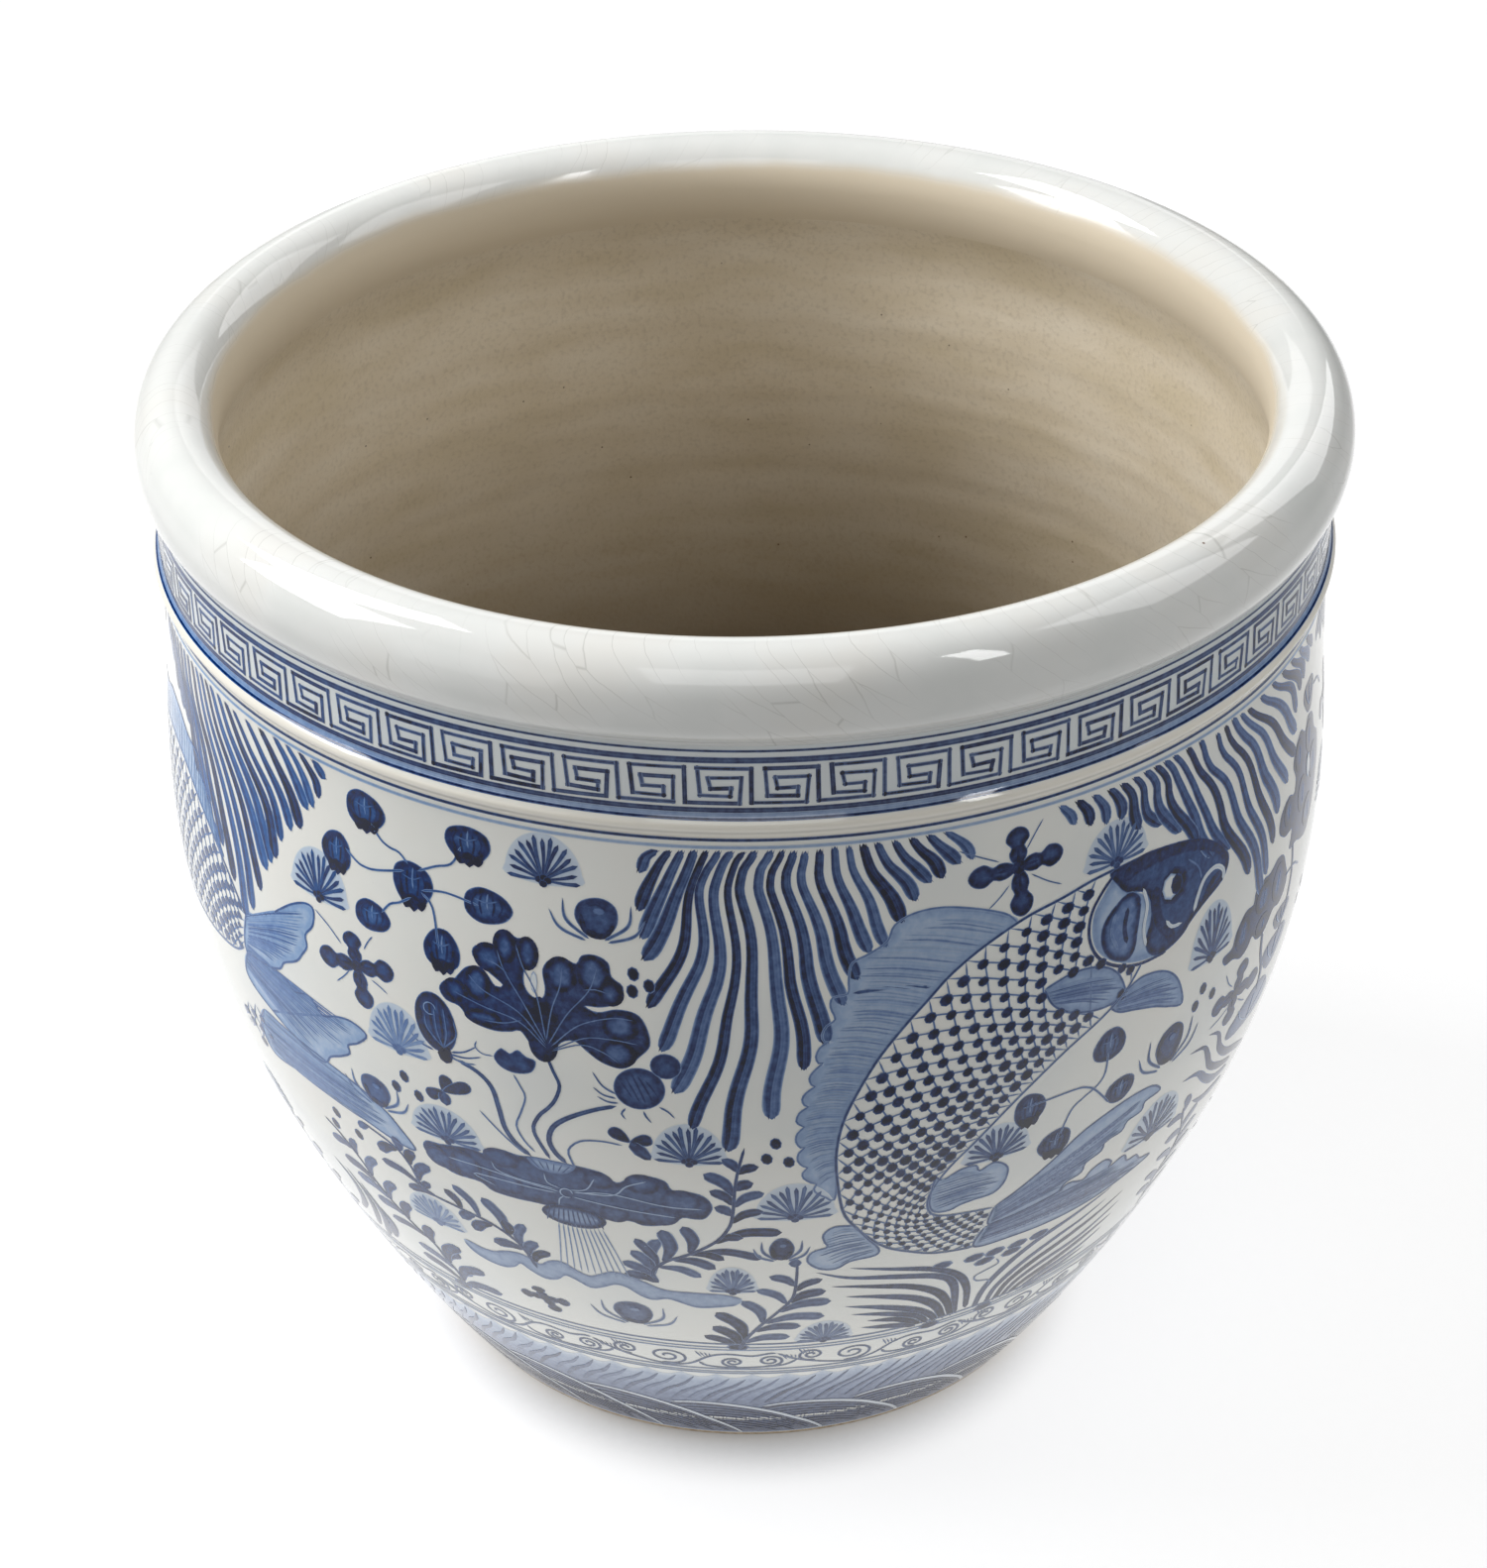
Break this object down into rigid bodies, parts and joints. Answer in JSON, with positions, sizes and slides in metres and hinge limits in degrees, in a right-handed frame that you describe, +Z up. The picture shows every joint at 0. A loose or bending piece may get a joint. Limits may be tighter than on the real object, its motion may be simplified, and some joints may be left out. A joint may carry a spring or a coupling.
{
  "type": "porcelain jardiniere",
  "caption": "Large round blue-and-white fish bowl planter: turned foot, deep swelling wall, raised shoulder rib, straight neck with fret border and thick rolled rim.",
  "frame": {"origin": "centre of the foot ring's underside, on the surface that the bowl stands on", "axes": "+Z up along the axis that the bowl was turned on; +X to the right and -Y towards the viewer as pictured"},
  "size_m": [0.46, 0.46, 0.4248],
  "materials": {
    "white_glaze": "gloss",
    "rim_glaze": "gloss",
    "cobalt_painting": "gloss",
    "buff_inner_glaze": "satin",
    "bare_porcelain": "matte"
  },
  "bodies": {
    "root": {"foot_ring": "bare_porcelain", "floor_disc": "buff_inner_glaze", "lower_wall": "white_glaze", "upper_wall": "white_glaze", "neck_collar": "cobalt_painting", "shoulder_rib": "white_glaze", "rolled_rim": "rim_glaze"}
  },
  "joints": []
}
